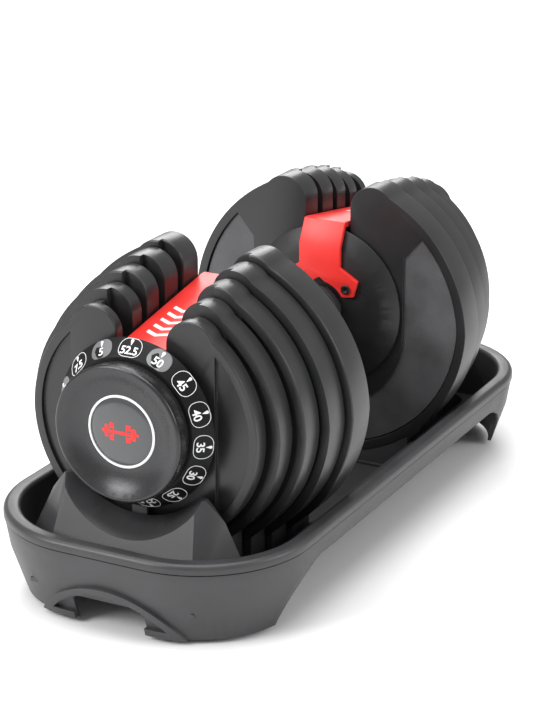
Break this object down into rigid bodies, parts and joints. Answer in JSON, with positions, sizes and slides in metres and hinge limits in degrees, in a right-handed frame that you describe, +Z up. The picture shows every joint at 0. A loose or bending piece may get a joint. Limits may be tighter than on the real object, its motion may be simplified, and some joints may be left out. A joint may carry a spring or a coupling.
{
  "type": "adjustable dumbbell",
  "caption": "Selector-dial adjustable dumbbell docked in a moulded storage tray, with slotted round weight plates, red bridges and a rubber hand grip.",
  "frame": {"origin": "middle of the tray's footprint, on the surface its feet stand on", "axes": "+X along the handle towards the far end, +Y across the tray, +Z up"},
  "size_m": [0.444, 0.2028, 0.2045],
  "materials": {
    "tray_plastic": "matte",
    "foot_rubber": "matte",
    "steel": "satin",
    "black_steel": "satin",
    "core_steel": "matte",
    "grip_rubber": "matte",
    "guard_plastic": "satin",
    "red_plastic": "satin",
    "inner_plastic": "matte",
    "ring_plastic": "satin",
    "knob_plastic": "satin",
    "white_trim": "satin",
    "badge_plastic": "gloss",
    "plate_cover": "satin"
  },
  "bodies": {
    "tray": {"tray_top": "tray_plastic", "tray_skirt": "tray_plastic", "tray_feet": "foot_rubber", "tray_screws": "steel", "near_plate_rack": "tray_plastic", "far_plate_rack": "tray_plastic"},
    "handle": {"axle": "steel", "hand_grip": "grip_rubber", "axle_nuts": "steel", "bridge_screws": "black_steel", "near_guard": "guard_plastic", "near_bridge": "red_plastic", "near_end_housing": "guard_plastic", "near_lock_spring": "steel", "far_guard": "guard_plastic", "far_bridge": "red_plastic", "far_end_housing": "guard_plastic", "far_lock_spring": "steel"},
    "near_lock": {"near_lock_plate": "steel"},
    "near_selector": {"near_sleeve": "inner_plastic", "near_number_ring": "ring_plastic", "near_knob": "knob_plastic", "near_trim_ring": "white_trim", "near_badge": "badge_plastic", "near_selector_disc_1": "steel", "near_selector_disc_2": "steel", "near_selector_disc_3": "steel", "near_selector_disc_4": "steel"},
    "near_weight_1": {"near_plate_1": "plate_cover", "near_plate_1_core": "core_steel"},
    "near_weight_2": {"near_plate_2": "plate_cover", "near_plate_2_core": "core_steel"},
    "near_weight_3": {"near_plate_3": "plate_cover", "near_plate_3_core": "core_steel"},
    "near_weight_4": {"near_plate_4": "plate_cover", "near_plate_4_core": "core_steel"},
    "near_weight_5": {"near_plate_5": "plate_cover", "near_plate_5_core": "core_steel"},
    "far_lock": {"far_lock_plate": "steel"},
    "far_selector": {"far_sleeve": "inner_plastic", "far_number_ring": "ring_plastic", "far_knob": "knob_plastic", "far_trim_ring": "white_trim", "far_badge": "badge_plastic", "far_selector_disc_1": "steel", "far_selector_disc_2": "steel", "far_selector_disc_3": "steel", "far_selector_disc_4": "steel"},
    "far_weight_1": {"far_plate_1": "plate_cover", "far_plate_1_core": "core_steel"},
    "far_weight_2": {"far_plate_2": "plate_cover", "far_plate_2_core": "core_steel"},
    "far_weight_3": {"far_plate_3": "plate_cover", "far_plate_3_core": "core_steel"},
    "far_weight_4": {"far_plate_4": "plate_cover", "far_plate_4_core": "core_steel"},
    "far_weight_5": {"far_plate_5": "plate_cover", "far_plate_5_core": "core_steel"}
  },
  "joints": [
    {"name": "handle_lift", "type": "slide", "parent": "tray", "child": "handle", "axis": [0, 0, 1], "range_m": [0, 0.15]},
    {"name": "near_selector_turn", "type": "hinge", "parent": "handle", "child": "near_selector", "pos_m": [-0.17, 0, 0.12], "axis": [-1, 0, 0], "continuous": true},
    {"name": "near_lock_drop", "type": "slide", "parent": "handle", "child": "near_lock", "axis": [0, 0, -1], "range_m": [0, 0.004], "deforming": ["near_lock_spring"]},
    {"name": "near_weight_1_lift", "type": "slide", "parent": "tray", "child": "near_weight_1", "axis": [0, 0, 1], "range_m": [0, 0.15]},
    {"name": "near_weight_2_lift", "type": "slide", "parent": "tray", "child": "near_weight_2", "axis": [0, 0, 1], "range_m": [0, 0.15]},
    {"name": "near_weight_3_lift", "type": "slide", "parent": "tray", "child": "near_weight_3", "axis": [0, 0, 1], "range_m": [0, 0.15]},
    {"name": "near_weight_4_lift", "type": "slide", "parent": "tray", "child": "near_weight_4", "axis": [0, 0, 1], "range_m": [0, 0.15]},
    {"name": "near_weight_5_lift", "type": "slide", "parent": "tray", "child": "near_weight_5", "axis": [0, 0, 1], "range_m": [0, 0.15]},
    {"name": "far_selector_turn", "type": "hinge", "parent": "handle", "child": "far_selector", "pos_m": [0.17, 0, 0.12], "axis": [1, 0, 0], "continuous": true},
    {"name": "far_lock_drop", "type": "slide", "parent": "handle", "child": "far_lock", "axis": [0, 0, -1], "range_m": [0, 0.004], "deforming": ["far_lock_spring"]},
    {"name": "far_weight_1_lift", "type": "slide", "parent": "tray", "child": "far_weight_1", "axis": [0, 0, 1], "range_m": [0, 0.15]},
    {"name": "far_weight_2_lift", "type": "slide", "parent": "tray", "child": "far_weight_2", "axis": [0, 0, 1], "range_m": [0, 0.15]},
    {"name": "far_weight_3_lift", "type": "slide", "parent": "tray", "child": "far_weight_3", "axis": [0, 0, 1], "range_m": [0, 0.15]},
    {"name": "far_weight_4_lift", "type": "slide", "parent": "tray", "child": "far_weight_4", "axis": [0, 0, 1], "range_m": [0, 0.15]},
    {"name": "far_weight_5_lift", "type": "slide", "parent": "tray", "child": "far_weight_5", "axis": [0, 0, 1], "range_m": [0, 0.15]}
  ],
  "couplings": [
    {"joint": "near_lock_drop", "follows": "handle_lift", "ratio": 0.026667},
    {"joint": "near_weight_1_lift", "follows": "handle_lift", "ratio": 1},
    {"joint": "near_weight_2_lift", "follows": "handle_lift", "ratio": 1},
    {"joint": "near_weight_3_lift", "follows": "handle_lift", "ratio": 1},
    {"joint": "near_weight_4_lift", "follows": "handle_lift", "ratio": 1},
    {"joint": "near_weight_5_lift", "follows": "handle_lift", "ratio": 1},
    {"joint": "far_lock_drop", "follows": "handle_lift", "ratio": 0.026667},
    {"joint": "far_weight_1_lift", "follows": "handle_lift", "ratio": 1},
    {"joint": "far_weight_2_lift", "follows": "handle_lift", "ratio": 1},
    {"joint": "far_weight_3_lift", "follows": "handle_lift", "ratio": 1},
    {"joint": "far_weight_4_lift", "follows": "handle_lift", "ratio": 1},
    {"joint": "far_weight_5_lift", "follows": "handle_lift", "ratio": 1}
  ]
}
